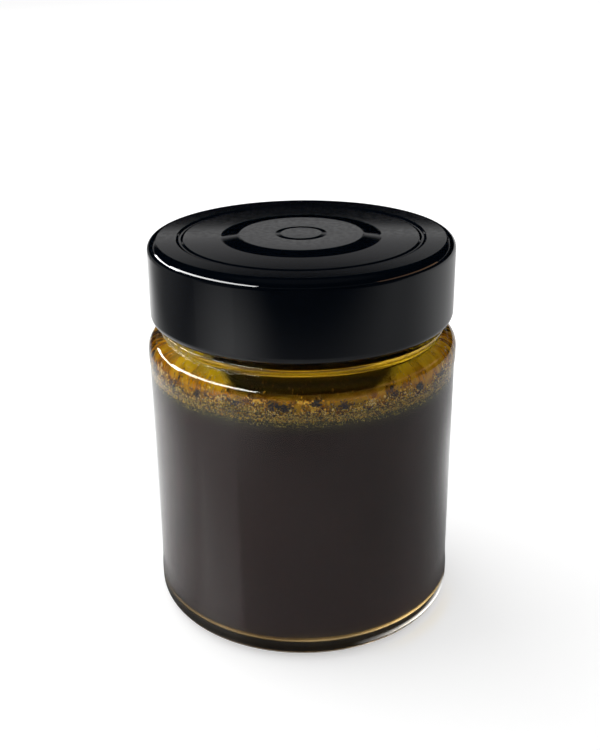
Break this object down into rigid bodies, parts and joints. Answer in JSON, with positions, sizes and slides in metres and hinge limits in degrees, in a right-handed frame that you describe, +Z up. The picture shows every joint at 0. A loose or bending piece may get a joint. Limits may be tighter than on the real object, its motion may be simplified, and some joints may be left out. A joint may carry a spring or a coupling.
{
  "type": "jar of vanilla extract",
  "caption": "Straight-sided glass jar of dark vanilla extract with a layer of golden oil on top, closed with a deep black twist-off cap.",
  "frame": {"origin": "centre of the base, on the surface the jar stands on", "axes": "+Z up along the jar's axis, towards the cap"},
  "size_m": [0.075, 0.075, 0.0946],
  "materials": {
    "glass": "clear, polished",
    "cap_lacquer": "gloss black lacquer on tinplate",
    "sealing_compound": "matt",
    "extract": "dark liquid",
    "oil": "clear golden liquid"
  },
  "bodies": {
    "root": {"jar": "glass", "cap": "cap_lacquer", "cap_seal": "sealing_compound", "extract": "extract", "oil": "oil"}
  },
  "joints": []
}
